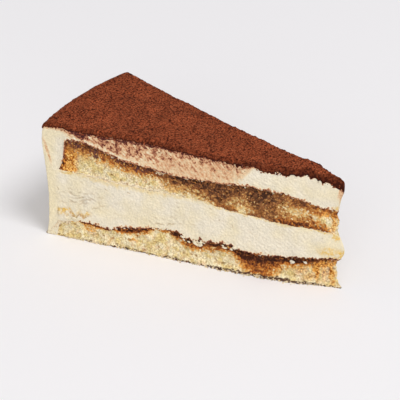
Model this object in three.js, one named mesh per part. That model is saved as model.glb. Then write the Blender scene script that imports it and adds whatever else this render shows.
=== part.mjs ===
// Slice of a round tiramisu cake: two coffee-soaked sponges set in mascarpone cream, under cocoa powder.
// Millimetres, +Z up. The slice stands on Z = 0, its rim faces -X and its tip points to +X.
// A place in the slice is given as its run from the rim towards the tip, its side (-1 on the near cut
// face, +1 on the far one) and its height.
import * as THREE from 'three';
import { ImprovedNoise } from 'three/addons/math/ImprovedNoise.js';
import { mergeVertices } from 'three/addons/utils/BufferGeometryUtils.js';

// ---- driving dimensions ----
const cakeRadius = 130; // the whole cake is 260 mm across
const sliceAngle = THREE.MathUtils.degToRad(26); // one of fourteen
const tipBlunt = 2; // the cuts stop this far short of the cake's axis
const cutLength = cakeRadius - tipBlunt;
const courseGap = 0.3; // between one course and the next
const cocoaThickness = 1.2;

// ---- the courses on the near cut face, as [run, height] ----
const spongeBaseTop = contour([[5, 7.3], [19, 8.9], [28, 7.6], [40, 10.4], [56, 12.9], [66, 9.9], [78, 11],
  [90, 9.4], [110, 10.9], [128, 13]]);
const creamMiddleTop = contour([[0, 31.4], [14, 31], [35, 29.8], [70, 28.9], [80, 27.6], [92, 26.6],
  [106, 24.7], [118, 24.8], [128, 23.5]]);
const spongeUpperTop = contour([[9, 46], [20, 45], [35, 41.3], [50, 39.3], [65, 38.6], [92, 39.4],
  [106, 38.2], [116, 36.1], [128, 34.8]]);
const creamTop = contour([[0, 50.2], [20, 50.3], [45, 50.7], [65, 49.3], [85, 47.8], [110, 47.5], [128, 46]]);

// ---- the outline seen from the side, as [height, reach] ----
const rimBelly = contour([[0, 0], [8, -1], [20, -1.3], [32, -0.3], [42, 0.9], [48, 0.5], [52, -0.4]]);
const tipNose = contour([[0, 0.5], [3, -1.3], [6, -2], [11, -1.8], [13, -0.3], [16, 1.2], [19, 0.7],
  [24, -1.4], [30, -1.9], [36, -1.7], [40, -0.9], [44, 0.2], [52, 0]]);
const rimBellyReach = 0.9;
const tipNoseReach = 1.2;
const rimBlend = 7; // how far in the belly fades out
const tipBlend = 12; // how far back the nose fades out
const cornerBlend = 2.5;
const reliefFades = 5; // the cut faces get smoother where the slice is narrower than this

// ---- rounded edges ----
const shoulderWidth = 3.5; // the top rounds down to the rim
const shoulderDrop = 1;
const droopWidth = 5; // and sags at the tip
const droopDrop = 3.4;
const droopCocoa = 1.4; // powder gathered under the nose
const cocoaHeaped = 1.2; // it lies thicker on the last stretch before the tip
const heapedRuns = [90, 118];
const cornerEase = 1; // where a cut face meets the rim
const cutEdgeDrop = 0.35; // where a cut face meets the top

// ---- sponge ends, set back from the rim in the cream, as the run at foot and head ----
const spongeBaseEnd = { foot: 5, head: 6.5 };
const spongeUpperEnd = { foot: 7, head: 10.4 };
const endClearance = 0.45;

// ---- unevenness ----
const swayLength = 15; // towards the far cut face each course wanders up and down
const baseSway = { reach: 1.1, start: 0.4 };
const middleSway = { reach: 0.8, start: 2.1 };
const upperSway = { reach: 0.9, start: 4 };
const topSway = { reach: 0.8, start: 0.7 };
const nearBow = 1.3; // the near cut face swells in the middle of the run, most at the foot
const farBow = -0.3;
const bowFades = 90; // a bow would be gone at this height
const footSpread = 2.6; // the base sponge's crust is pushed outwards along its foot
const farFootSpread = 1.2;
const footHeight = 2.2;
const footRuns = [30, 106, 126]; // where that starts, is widest and ends
const creviceOpen = 0.7; // the cream has torn away from the base sponge along the cut
const creviceRuns = [30, 60];
const creviceGrain = 3.1;
const spongeEdgeDrop = 0.3;
const powderUneven = 0.25;
const powderSwell = 7;
const powderRag = 0.5; // ragged edge of the powder
const ragGrain = 2.2;
const acrossBumps = 2.7; // how much the bumps change from one cut face to the other
const bumpsFrom = new THREE.Vector3(3.1, 8.4, 5.9);
const bumpGain = 1.6;
// how far each finish stands proud on a cut face, the height of its bumps and their size
const crumbCut = { proud: -0.45, bumps: 0.5, grain: 4.3 };
const creamCut = { proud: 0.15, bumps: 0.2, grain: 11 };
const powderCut = { proud: 0.2, bumps: 0.35, grain: 2.6 };

// ---- mesh ----
const runSteps = 44;
const closestRuns = 0.6;
const roundedRuns = [1.2, cutLength - 1.5, cutLength - 0.5]; // more of them where the top rounds over
const sides = [-1, -0.955, -0.72, -0.38, 0, 0.38, 0.72, 0.955, 1];

const halfAngle = sliceAngle / 2;
const axisX = (cakeRadius + rimBellyReach + tipBlunt - tipNoseReach) / 2; // centres the slice on X = 0
const noise = new ImprovedNoise();

// A smooth curve through a few [along, value] points, as a function of along.
function contour(points) {
  const curve = new THREE.SplineCurve(points.map(([along, value]) => new THREE.Vector2(along, value)));
  const samples = curve.getPoints(20 * points.length);
  return (along) => {
    const found = samples.findIndex((p) => p.x > along);
    const next = found === -1 ? samples.length - 1 : Math.max(1, found);
    const a = samples[next - 1];
    const b = samples[next];
    const inside = THREE.MathUtils.clamp(along, samples[0].x, samples[samples.length - 1].x);
    return THREE.MathUtils.mapLinear(inside, a.x, b.x, a.y, b.y);
  };
}

// 0 to 1 as value goes from low to high, eased at both ends.
function ease(value, low, high) {
  return THREE.MathUtils.smoothstep(value, low, high);
}

// How far a quarter-round edge of this width and drop has fallen, a distance in from where it ends.
function roundOver(distance, width, drop) {
  const q = THREE.MathUtils.clamp((width - distance) / width, 0, 1);
  return drop * (1 - Math.sqrt(1 - q * q));
}

// Bumps between about -1 and 1, with no jump between one course and the next. The two cut faces differ.
function bump(run, side, height, grain) {
  const at = new THREE.Vector3(run / grain, acrossBumps * side, height / grain).add(bumpsFrom);
  return bumpGain * noise.noise(at.x, at.y, at.z);
}

function onCut(side) {
  return ease(Math.abs(side), 0.96, 1);
}

// A course's height drifts across the slice, so that the far cut shows it elsewhere.
function sway(run, side, { reach, start }) {
  return reach * ((side + 1) / 2) * Math.sin(run / swayLength + start + side);
}

// ---- the surfaces between the courses ----
function baseLevel(run, side) {
  return spongeBaseTop(run) + sway(run, side, baseSway);
}

function middleLevel(run, side) {
  return creamMiddleTop(run) + sway(run, side, middleSway);
}

function upperLevel(run, side) {
  return spongeUpperTop(run) + sway(run, side, upperSway);
}

function topLevel(run, side) {
  const level = creamTop(run) + sway(run, side, topSway);
  const rim = roundOver(run, shoulderWidth, shoulderDrop);
  const tip = roundOver(cutLength - run, droopWidth, droopDrop);
  const ragged = cutEdgeDrop + powderRag * bump(run, side, 0, ragGrain);
  return level - rim - tip - onCut(side) * ragged;
}

function cocoaLevel(run, side) {
  const heaped = cocoaHeaped * ease(run, ...heapedRuns);
  const gathered = roundOver(cutLength - run, droopWidth, droopCocoa);
  const uneven = powderUneven * bump(run, 3 * side, 0, powderSwell);
  return topLevel(run, side) + cocoaThickness + heaped + gathered + uneven;
}

// ---- from run, side and height to X, Y, Z ----
function cutSwell(run, side, height) {
  const bow = THREE.MathUtils.mapLinear(side, -1, 1, nearBow, farBow) * (1 - height / bowFades);
  const spread = THREE.MathUtils.mapLinear(side, -1, 1, footSpread, farFootSpread);
  const [start, widest, end] = footRuns;
  const foot = spread * ease(run, start, widest) * (1 - ease(run, widest, end));
  return bow * Math.sin((Math.PI * run) / cutLength) + foot * (1 - ease(height, 0, footHeight));
}

function place(run, side, height, cutRelief) {
  const belly = rimBelly(height) * (1 - ease(run, 0, rimBlend));
  const corner = cornerEase * onCut(side) * (1 - ease(run, 0, cornerBlend));
  const radius = cakeRadius - run + belly - corner;
  const nose = tipNose(height) * ease(run, cutLength - tipBlend, cutLength);
  const angle = side * halfAngle;
  const halfWidth = radius * Math.sin(halfAngle);
  const outward = cutSwell(run, side, height) + cutRelief * Math.min(1, halfWidth / reliefFades);
  return new THREE.Vector3(
    axisX - radius * Math.cos(angle) + nose,
    radius * Math.sin(angle) * (1 + outward / halfWidth),
    height,
  );
}

// Even levels from a course's floor, 0, to its roof, 1.
function evenLevels(rows) {
  return Array.from({ length: rows + 1 }, (_, i) => i / rows);
}

// The runs at which a course has points: even steps from its first run to the tip, with the given ones added.
function runsFrom(first, ...added) {
  const even = Array.from({ length: runSteps + 1 }, (_, i) => (cutLength * i) / runSteps);
  const kept = [first, ...added];
  even.filter((run) => run > first && kept.every((own) => Math.abs(own - run) > closestRuns))
    .forEach((run) => kept.push(run));
  return kept.sort((a, b) => a - b);
}

// One course of the slice, as a box whose grid is bent to the wedge. floor and roof give its height, levels
// where its rows lie between them, rimEnd the sloping end of one that stops short of the rim, and relief how
// far its cut faces stand proud.
function course({ name, material, runs, levels, floor, roof, rimEnd, relief }) {
  const box = new THREE.BoxGeometry(1, 1, 1, runs.length - 1, sides.length - 1, levels.length - 1);
  box.deleteAttribute('uv');
  box.deleteAttribute('normal');
  const geometry = mergeVertices(box);
  const position = geometry.getAttribute('position');
  const corner = new THREE.Vector3();
  for (let i = 0; i < position.count; i += 1) {
    corner.fromBufferAttribute(position, i).addScalar(0.5);
    const station = Math.round(corner.x * (runs.length - 1));
    const side = sides[Math.round(corner.y * (sides.length - 1))];
    const up = levels[Math.round(corner.z * (levels.length - 1))];
    const run = rimEnd && station === 0 ? THREE.MathUtils.lerp(rimEnd.foot, rimEnd.head, up) : runs[station];
    const height = THREE.MathUtils.lerp(floor(run, side), roof(run, side), up);
    const placed = place(run, side, height, relief(run, side, height));
    position.setXYZ(i, placed.x, placed.y, placed.z);
  }
  geometry.computeVertexNormals();
  const mesh = new THREE.Mesh(geometry, material);
  mesh.name = name;
  return mesh;
}

// The cream's lower side steps down in front of a sponge's end, from the sponge's top to the level below it.
function steppedDown(end, aboveSponge, besideSponge) {
  const foot = end.foot - endClearance;
  const head = end.head - endClearance;
  return (run, side) => {
    const over = THREE.MathUtils.clamp((run - foot) / (head - foot), 0, 1);
    return THREE.MathUtils.lerp(besideSponge(foot < run ? foot : run, side), aboveSponge(run, side), over);
  };
}

// ---- materials ----
const sponge = new THREE.MeshStandardMaterial({ color: 0xdcc48c, roughness: 0.95, metalness: 0 });
const soakedSponge = new THREE.MeshStandardMaterial({ color: 0xa98452, roughness: 0.9, metalness: 0 });
const cream = new THREE.MeshStandardMaterial({ color: 0xeee3c9, roughness: 0.6, metalness: 0 });
const cocoa = new THREE.MeshStandardMaterial({ color: 0x733a26, roughness: 1, metalness: 0 });

// ---- relief of the cut faces: crumb stands back and is bumpy, cream is smooth and swells a little ----
function reliefOf({ proud, bumps, grain }) {
  return (run, side, height) => proud + bumps * bump(run, side, height, grain);
}

// ---- the five courses, from the plate up ----
function makeSpongeBase() {
  return course({
    name: 'sponge_base',
    material: sponge,
    runs: runsFrom(spongeBaseEnd.head),
    levels: [0, 0.1, 0.22, 0.5, 0.75, 1],
    floor: () => 0,
    roof: (run, side) => baseLevel(run, side) - courseGap / 2 - spongeEdgeDrop * onCut(side),
    rimEnd: spongeBaseEnd,
    relief: reliefOf(crumbCut),
  });
}

function makeCreamMiddle() {
  const torn = (run, side) => creviceOpen * onCut(side) * ease(run, ...creviceRuns)
    * Math.max(0, bump(run, side, 0, creviceGrain));
  return course({
    name: 'cream_middle',
    material: cream,
    runs: runsFrom(0, spongeBaseEnd.foot - endClearance, spongeBaseEnd.head - endClearance),
    levels: evenLevels(7),
    floor: steppedDown(
      spongeBaseEnd,
      (run, side) => baseLevel(run, side) + courseGap / 2 + torn(run, side),
      () => 0,
    ),
    roof: (run, side) => middleLevel(run, side) - courseGap / 2,
    relief: reliefOf(creamCut),
  });
}

function makeSpongeUpper() {
  return course({
    name: 'sponge_upper',
    material: soakedSponge,
    runs: runsFrom(spongeUpperEnd.head),
    levels: evenLevels(5),
    floor: (run, side) => middleLevel(run, side) + courseGap / 2,
    roof: (run, side) => upperLevel(run, side) - courseGap / 2,
    rimEnd: spongeUpperEnd,
    relief: reliefOf(crumbCut),
  });
}

function makeCreamTop() {
  return course({
    name: 'cream_top',
    material: cream,
    runs: runsFrom(0, ...roundedRuns, spongeUpperEnd.foot - endClearance, spongeUpperEnd.head - endClearance),
    levels: evenLevels(4),
    floor: steppedDown(
      spongeUpperEnd,
      (run, side) => upperLevel(run, side) + courseGap / 2,
      (run, side) => middleLevel(run, side) + courseGap / 2,
    ),
    roof: (run, side) => topLevel(run, side) - courseGap / 2,
    relief: reliefOf(creamCut),
  });
}

function makeCocoaDusting() {
  return course({
    name: 'cocoa_dusting',
    material: cocoa,
    runs: runsFrom(0, ...roundedRuns),
    levels: evenLevels(1),
    floor: (run, side) => topLevel(run, side) + courseGap / 2,
    roof: cocoaLevel,
    relief: reliefOf(powderCut),
  });
}

const slice = new THREE.Group();
slice.add(makeSpongeBase(), makeCreamMiddle(), makeSpongeUpper(), makeCreamTop(), makeCocoaDusting());

export default slice;
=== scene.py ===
import math
import random

import bmesh
import bpy
from mathutils import Matrix, Vector, noise


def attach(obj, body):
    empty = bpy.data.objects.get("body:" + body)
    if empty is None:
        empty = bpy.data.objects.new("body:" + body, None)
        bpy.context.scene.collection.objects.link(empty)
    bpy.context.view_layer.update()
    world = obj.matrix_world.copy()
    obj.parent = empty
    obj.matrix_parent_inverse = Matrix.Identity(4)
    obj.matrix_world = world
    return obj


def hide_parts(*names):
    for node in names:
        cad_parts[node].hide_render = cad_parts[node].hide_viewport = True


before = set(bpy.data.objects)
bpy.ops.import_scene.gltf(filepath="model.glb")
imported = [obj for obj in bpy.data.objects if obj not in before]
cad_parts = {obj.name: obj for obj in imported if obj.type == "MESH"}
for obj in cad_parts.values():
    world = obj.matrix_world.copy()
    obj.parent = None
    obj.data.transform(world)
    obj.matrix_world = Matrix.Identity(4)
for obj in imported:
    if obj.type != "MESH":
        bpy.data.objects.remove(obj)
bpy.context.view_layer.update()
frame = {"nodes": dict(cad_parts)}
print("frame loaded:", ", ".join(frame["nodes"]))

# Shapes are worked out in millimetres, as (run, side, height): run goes from the rim to the tip along a cut,
# side from -1 on the near cut to +1 on the far one. Each finished piece is scaled to metres.
mm = 0.001

cake = {
    "radius": 130.0,
    "halfAngle": math.radians(13),
    "cut": 128.0,  # length of a cut face
    "axisX": 65.85,  # where the whole cake's axis stands
    "rimBlend": 7.0,
    "tipBlend": 12.0,
    "cornerWidth": 1.2,  # where a cut face meets the rim
    "cornerDrop": 0.5,
    "shoulderWidth": 3.5,  # where the top meets the rim
    "shoulderDrop": 0.8,
    "droopWidth": 4.4,  # where the top sags at the tip
    "droopDrop": 2.6,
    "underWidth": 1.8,  # and the cream under the powder
    "nearBow": 1.3,
    "farBow": -0.3,
    "bowFades": 90.0,
    "nearFoot": 2.6,
    "farFoot": 1.2,
    "footHeight": 2.2,
    "footRuns": (30.0, 106.0, 126.0),
}

levels = {  # where each course ends on the near cut, as (run, height)
    "base": [
        (5, 7.3), (19, 8.9), (28, 7.8), (34, 9.4), (40, 10.5), (56, 12.9), (66, 9.8), (78, 10.7), (90, 9.2),
        (98, 9.3), (106, 10), (112, 10.9), (128, 13)],
    "middle": [
        (0, 31.4), (14, 31), (35, 29.8), (68, 28.9), (76, 27.3), (92, 25.9), (100, 24.8), (108, 24.4),
        (118, 24.7), (128, 23.5)],
    "upper": [
        (9, 46), (20, 45.2), (28, 42.7), (36, 40.7), (46, 39.6), (55, 38.5), (65, 38.1), (92, 38.8),
        (106, 37.9), (116, 35.8), (121, 34.9), (128, 34.7)],
    "top": [
        (0, 50.3), (3, 50.8), (20, 50.4), (45, 50.7), (65, 49.3), (85, 48.4), (98, 47.9), (106, 47.8),
        (113, 48.4), (120, 47.2), (128, 46.4)],
}
sways = {"base": (1.1, 0.4), "middle": (0.8, 2.1), "upper": (0.9, 4.0), "top": (0.8, 0.7)}
outlines = {  # seen from the side, as (height, reach)
    "rim": [(0, 0), (8, -1), (20, -1.3), (32, -0.3), (42, 0.9), (48, 0.5), (52, -0.4)],
    "tip": [
        (0, 0.5), (3, -1.3), (6, -2), (11, -1.8), (13, -0.3), (16, 1.2), (19, 0.7), (24, -1.4), (30, -1.9),
        (36, -1.7), (40, -0.9), (44, 0.2), (52, 0)],
}


def contour(points, step=0.25):
    # a smooth curve through the points, read off at even steps
    drawn = []
    last = len(points) - 1
    for i in range(last):
        p0, p1, p2, p3 = (Vector(points[min(max(k, 0), last)]) for k in (i - 1, i, i + 1, i + 2))
        v0, v1 = (p2 - p0) / 2, (p3 - p1) / 2
        bend = 2 * p1 - 2 * p2 + v0 + v1
        lean = 3 * p2 - 3 * p1 - 2 * v0 - v1
        for n in range(21):
            t = n / 20
            drawn.append(bend * t**3 + lean * t**2 + v0 * t + p1)
    start, end = points[0][0], points[-1][0]
    table = []
    k = 0
    for n in range(int((end - start) / step) + 2):
        along = min(start + n * step, end)
        while k < len(drawn) - 2 and drawn[k + 1].x < along:
            k += 1
        a, b = drawn[k], drawn[k + 1]
        table.append(a.y + (b.y - a.y) * (along - a.x) / max(b.x - a.x, 1e-6))

    def read(along):
        place = (min(max(along, start), end) - start) / step
        k = min(int(place), len(table) - 2)
        return table[k] + (table[k + 1] - table[k]) * (place - k)

    return read


curves = {name: contour(points) for name, points in levels.items()}
rimBelly = contour(outlines["rim"])
tipNose = contour(outlines["tip"])


def ease(value, low, high):
    t = min(max((value - low) / (high - low), 0.0), 1.0)
    return t * t * (3 - 2 * t)


def roundOver(distance, width, drop):
    q = min(max((width - distance) / width, 0.0), 1.0)
    return drop * (1 - math.sqrt(1 - q * q))


def ripple(x, y, z, size):
    return noise.noise(Vector((x / size, y / size, z / size)))


apart = {"ripple": 9, "relief": 23}  # how far apart the two cuts lie in the noise


def cutRipple(run, side, height, size):
    return ripple(run, side * apart["ripple"], height, size)


def halfWidthAt(run):
    return (cake["radius"] - run) * math.sin(cake["halfAngle"])


def fromCut(run, side):
    return (1 - abs(side)) * halfWidthAt(run)  # how far in from the nearer cut


def level(name, run, side):
    reach, start = sways[name]
    return curves[name](run) + reach * (side + 1) / 2 * math.sin(run / 15 + start + side)


def swell(run, side, height):
    c = cake
    toFar = (side + 1) / 2
    bow = (c["nearBow"] + (c["farBow"] - c["nearBow"]) * toFar) * (1 - height / c["bowFades"])
    start, widest, end = c["footRuns"]
    foot = (c["nearFoot"] + (c["farFoot"] - c["nearFoot"]) * toFar) * ease(run, start, widest)
    foot *= 1 - ease(run, widest, end)
    return bow * math.sin(math.pi * run / c["cut"]) + foot * (1 - ease(height, 0, c["footHeight"]))


def place(run, side, height, proud=0.0):
    c = cake
    belly = rimBelly(height) * (1 - ease(run, 0, c["rimBlend"]))
    corner = roundOver(fromCut(run, side), c["cornerWidth"], c["cornerDrop"]) * (1 - ease(run, 0, 2.5))
    radius = c["radius"] - run + belly - corner
    nose = tipNose(height) * ease(run, c["cut"] - c["tipBlend"], c["cut"])
    halfWidth = radius * math.sin(c["halfAngle"])
    outward = swell(run, side, height) + proud * min(1, halfWidth / 5) * side**4
    angle = side * c["halfAngle"]
    x = c["axisX"] - radius * math.cos(angle) + nose
    y = radius * math.sin(angle) * (1 + outward / halfWidth)
    return Vector((x, y, height))


# where one course ends and the next starts
powderEdge = {"drop": 0.35, "width": 1.3, "slow": 0.3, "slowSize": 2.6, "quick": 0.4, "quickSize": 0.95,
              "teeth": 2.0, "teethSize": 1.15, "teethRuns": (70.0, 84.0)}
edgeWaves = {  # small waves of the other edges, as (height, row of the noise, size)
    "upper": [(0.45, 15, 3.1), (0.4, 17, 1.6), (0.3, 19, 0.8)],
    "middle": [(0.35, 25, 3.3), (0.38, 29, 1.1)],
    "base": [(0.35, 35, 3.4), (0.4, 39, 1.3), (0.3, 42, 0.7)],
}
tears = {  # where the cream came away from the base sponge
    "runs": (57.0, 61.0, 82.0, 85.0),
    "deep": 1.1,
    "inward": 2.0,
    "holes": 2.2,
    "holeSize": 2.2,
    "nicks": 0.25,
    "nickSize": 1.6,
}


def onEdge(run, side, width):
    return 1 - ease(fromCut(run, side), 0, width)


def topEdge(run, side):
    # bottom of the powder and top of the cream
    p = powderEdge
    height = level("top", run, side) - roundOver(run, cake["shoulderWidth"], cake["shoulderDrop"])
    height -= roundOver(cake["cut"] - run, cake["underWidth"], cake["droopDrop"])
    edge = p["drop"] + p["slow"] * cutRipple(run, side, 4, p["slowSize"])
    edge += p["quick"] * cutRipple(run, side, 9, p["quickSize"])
    teeth = cutRipple(run, side, 13, p["teethSize"])
    edge += p["teeth"] * ease(run, *p["teethRuns"]) * (teeth if teeth > 0 else 0.4 * teeth)
    return height - onEdge(run, side, p["width"]) * edge


def courseEdge(name, run, side):
    waves = sum(high * cutRipple(run, side, row, size) for high, row, size in edgeWaves[name])
    return level(name, run, side) + waves


def tornAway(run, side):
    t = tears
    first, full, fading, last = t["runs"]
    zone = ease(run, first, full) * (1 - ease(run, fading, last))
    holes = max(0, cutRipple(run, side, 44, t["holeSize"]) + 0.15)
    nicks = max(0, cutRipple(run, side, 48, t["nickSize"]))
    return onEdge(run, side, t["inward"]) * t["deep"] * (zone * t["holes"] * holes + t["nicks"] * nicks)


creamOverlap = 1.6  # how far the two courses of cream lap over each other at the rim
lap = 0.1  # how far neighbours reach past the edge that they share
spongeUnder = 0.8  # how far the end of a sponge goes under the cream


# meshes
hiddenCells = (20, 8)  # a side that nobody sees has only as many faces as this
deepInside = 0.8  # nearer the middle than this share of the half width, a vertex gets no relief or paint


def makeBlock(runs, across, rows, hidden=(-1, 1)):
    bm = bmesh.new()
    bmesh.ops.create_cube(bm, size=1, matrix=Matrix.Translation((0.5, 0.5, 0.5)))
    for axis, steps in enumerate((runs, across, rows)):
        if axis == 2:
            for facing in hidden:
                thinOut(bm, facing)
        along = [e for e in bm.edges if abs(e.verts[0].co[axis] - e.verts[1].co[axis]) > 0.9]
        bmesh.ops.subdivide_edges(bm, edges=along, cuts=steps - 1, use_grid_fill=True)
    return bm


def thinOut(bm, facing):
    # join the small faces of the lower (-1) or upper (1) side: every other cell, then those in between
    cells = ([], [])
    for face in bm.faces:
        if face.normal.z * facing > 0.9:
            middle = face.calc_center_median()
            cells[(int(middle.x * hiddenCells[0]) + int(middle.y * hiddenCells[1])) % 2].append(face)
    for faces in cells:
        bmesh.ops.dissolve_faces(bm, faces=faces, use_verts=False)
    bmesh.ops.dissolve_verts(bm, verts=[v for v in bm.verts if len(v.link_edges) == 2])


def sideAt(across):
    v = 2 * across - 1
    return 0.55 * v + 0.45 * math.sin(v * math.pi / 2)  # columns lie closer towards the cuts


def paintLayers(bm, *names):
    return {name: bm.verts.layers.float.new(name) for name in names}


def finishPiece(bm, name, material, node=None):
    bmesh.ops.scale(bm, vec=(mm, mm, mm), verts=bm.verts)
    for face in bm.faces:
        face.smooth = len(face.verts) <= 4  # the joined faces of hidden sides stay flat
    mesh = bpy.data.meshes.new(name)
    bm.to_mesh(mesh)
    bm.free()
    mesh.materials.append(material)
    piece = bpy.data.objects.new(name, mesh)
    bpy.context.scene.collection.objects.link(piece)
    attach(piece, "root")
    if node:
        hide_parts(node)
    print(f"{name}: {len(mesh.polygons)} faces")


def patchMask(patches, run, height, rough=1.0):
    # soft ragged patches, each as (run, height, half length, half height, tilt, strength)
    wobble = rough * (1.3 * ripple(run, height, 61, 2.3) + 0.6 * ripple(run, height, 66, 0.8))
    sway = rough * (0.8 * ripple(run, height, 71, 2.0) + 0.4 * ripple(run, height, 76, 0.7))
    clear = 1.0
    for along, up, halfLength, halfHeight, tilt, strength in patches:
        dx = run + wobble - along
        dz = height + sway - up
        if abs(dx) > 2.2 * halfLength + 2 * halfHeight + 2:
            continue
        turn = math.radians(tilt)
        u = (dx * math.cos(turn) + dz * math.sin(turn)) / halfLength
        v = (dz * math.cos(turn) - dx * math.sin(turn)) / halfHeight
        clear *= 1 - strength * (1 - ease(math.sqrt(u * u + v * v), 0.3, 1.3))
    return min(max(1 - clear, 0.0), 1.0)


def within(distance, reach, soft=0.5):
    # 1 close to an edge, fading to 0 at the reach
    if reach < 0.05:
        return 0.0
    return 1 - ease(distance, reach * (1 - soft), reach * (1 + soft * 0.6))


slant = (0.38, 0.57)  # how far a stain moves along and down for each millimetre that the cut stands out
mirrorRun = 133.0


def laidOut(run, side, height, proud):
    # the flat cut that stains are laid out on: the far cut has them the other way round
    out = swell(run, side, height) + proud
    seenRun = run - slant[0] * out
    return (mirrorRun - seenRun) if side > 0 else seenRun, height - slant[1] * out


# colours and textures
def colour(red, green, blue):
    def linear(c):
        c /= 255
        return c / 12.92 if c < 0.04045 else ((c + 0.055) / 1.055) ** 2.4
    return (linear(red), linear(green), linear(blue), 1.0)


def connect(tree, value, socket):
    if isinstance(value, bpy.types.NodeSocket):
        tree.links.new(value, socket)
    elif value is not None:
        socket.default_value = value


def addNode(tree, kind, inputs=(), **settings):
    node = tree.nodes.new("ShaderNode" + kind)
    for key, value in settings.items():
        setattr(node, key, value)
    for key, value in dict(inputs).items():
        connect(tree, value, node.inputs[key])
    return node


def maths(tree, operation, a, b=None, c=None, clamp=False):
    return addNode(tree, "Math", {0: a, 1: b, 2: c}, operation=operation, use_clamp=clamp).outputs[0]


def remap(tree, value, low, high, toLow=0.0, toHigh=1.0, smooth=False):
    kind = "SMOOTHSTEP" if smooth else "LINEAR"
    inputs = {"Value": value, "From Min": low, "From Max": high, "To Min": toLow, "To Max": toHigh}
    return addNode(tree, "MapRange", inputs, interpolation_type=kind).outputs["Result"]


def blend(tree, factor, a, b, how="MIX"):
    return addNode(tree, "Mix", {0: factor, 6: a, 7: b}, data_type="RGBA", blend_type=how).outputs[2]


def painted(tree, name):
    return addNode(tree, "Attribute", attribute_name=name).outputs["Fac"]


def noiseAt(tree, coords, scale, detail=2.0, rough=0.55):
    inputs = {"Vector": coords, "Scale": scale, "Detail": detail, "Roughness": rough}
    return addNode(tree, "TexNoise", inputs).outputs["Fac"]


def cellsAt(tree, coords, scale):
    return addNode(tree, "TexVoronoi", {"Vector": coords, "Scale": scale})


def makeRamp(tree, value, stops):
    node = addNode(tree, "ValToRGB", {"Fac": value})
    ramp = node.color_ramp
    while len(ramp.elements) < len(stops):
        ramp.elements.new(0.5)
    for element, (at, tint) in zip(ramp.elements, stops):
        element.position = at
        element.color = tint
    return node.outputs["Color"]


def makeGroup(name, inputs, outputs):
    group = bpy.data.node_groups.new(name, "ShaderNodeTree")
    for label, kind, value in inputs:
        socket = group.interface.new_socket(label, in_out="INPUT", socket_type=kind)
        if value is not None:
            socket.default_value = value
    for label, kind in outputs:
        group.interface.new_socket(label, in_out="OUTPUT", socket_type=kind)
    start = group.nodes.new("NodeGroupInput")
    end = group.nodes.new("NodeGroupOutput")
    return group, start.outputs, end.inputs


def useGroup(tree, group, **inputs):
    node = tree.nodes.new("ShaderNodeGroup")
    node.node_tree = group
    for key, value in inputs.items():
        connect(tree, value, node.inputs[key])
    return node.outputs


def newMaterial(name, roughness):
    material = bpy.data.materials.new(name)
    material.use_nodes = True
    tree = material.node_tree
    shader = next(n for n in tree.nodes if n.type == "BSDF_PRINCIPLED")
    shader.inputs["Roughness"].default_value = roughness
    coords = addNode(tree, "TexCoord").outputs["Object"]
    return material, tree, shader, coords


def times(tree, a, b, clamp=False):
    return maths(tree, "MULTIPLY", a, b, clamp=clamp)


def makeToneGroup():
    # light and dark of a finish at two sizes, in cells to the metre
    tree, given, out = makeGroup(
        "tone",
        [("Coords", "NodeSocketVector", None), ("Fine", "NodeSocketFloat", 2000.0),
         ("Broad", "NodeSocketFloat", 150.0), ("Depth", "NodeSocketFloat", 0.2)],
        [("Tone", "NodeSocketFloat"), ("Height", "NodeSocketFloat")])
    fine = noiseAt(tree, given["Coords"], given["Fine"], 3.0, 0.7)
    broad = noiseAt(tree, given["Coords"], given["Broad"], 2.0)
    both = maths(tree, "ADD", times(tree, fine, 0.7), times(tree, broad, 0.3))
    spread = times(tree, maths(tree, "SUBTRACT", both, 0.5), given["Depth"])
    connect(tree, maths(tree, "MULTIPLY_ADD", spread, 2.0, 1.0), out["Tone"])
    connect(tree, fine, out["Height"])
    return tree


def makeCrumbGroup():
    # cells of cake crumb: where the gaps between them lie, which the sponge darkens as painted shade, and a
    # different number for each crumb
    tree, given, out = makeGroup(
        "crumb",
        [("Coords", "NodeSocketVector", None), ("Size", "NodeSocketFloat", 1100.0)],
        [("Gap", "NodeSocketFloat"), ("Each", "NodeSocketFloat"), ("Height", "NodeSocketFloat")])
    bent = addNode(tree, "TexNoise", {"Vector": given["Coords"], "Scale": 700.0, "Detail": 2.0})
    reach = (0.0011, 0.0011, 0.0011)
    shift = addNode(tree, "VectorMath", {0: bent.outputs["Color"], 1: reach}, operation="MULTIPLY").outputs[0]
    coords = addNode(tree, "VectorMath", {0: given["Coords"], 1: shift}, operation="ADD").outputs[0]
    cells = cellsAt(tree, coords, given["Size"])
    gap = remap(tree, cells.outputs["Distance"], 0.35, 0.85, smooth=True)
    each = addNode(tree, "SeparateColor", {"Color": cells.outputs["Color"]}).outputs["Red"]
    connect(tree, gap, out["Gap"])
    connect(tree, each, out["Each"])
    connect(tree, maths(tree, "SUBTRACT", 1.0, gap), out["Height"])
    return tree


toneGroup = makeToneGroup()
crumbGroup = makeCrumbGroup()


def finishLook(tree, shader, base, tone, bumps):
    # light and dark over the colour, and bumps over each other, each as (strength, distance, height)
    base = blend(tree, 1.0, base, tone["Tone"], "MULTIPLY")
    connect(tree, base, shader.inputs["Base Color"])
    normal = None
    for strength, distance, height in bumps:
        inputs = {"Strength": strength, "Distance": distance, "Height": height, "Normal": normal}
        normal = addNode(tree, "Bump", inputs).outputs["Normal"]
    connect(tree, normal, shader.inputs["Normal"])


creamLook = {
    "ivory": colour(238, 228, 206),
    "butter": colour(238, 224, 188),
    "smear": [(0.0, colour(238, 228, 204)), (0.25, colour(235, 210, 170)), (0.5, colour(224, 181, 138)),
              (0.7, colour(200, 140, 102)), (0.86, colour(136, 76, 58)), (1.0, colour(78, 38, 36))],
    # the crack colour is painted shade in pits, crack grooves and along the torn line
    "crack": colour(170, 136, 84),
    "golden": colour(232, 190, 92),
}


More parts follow.
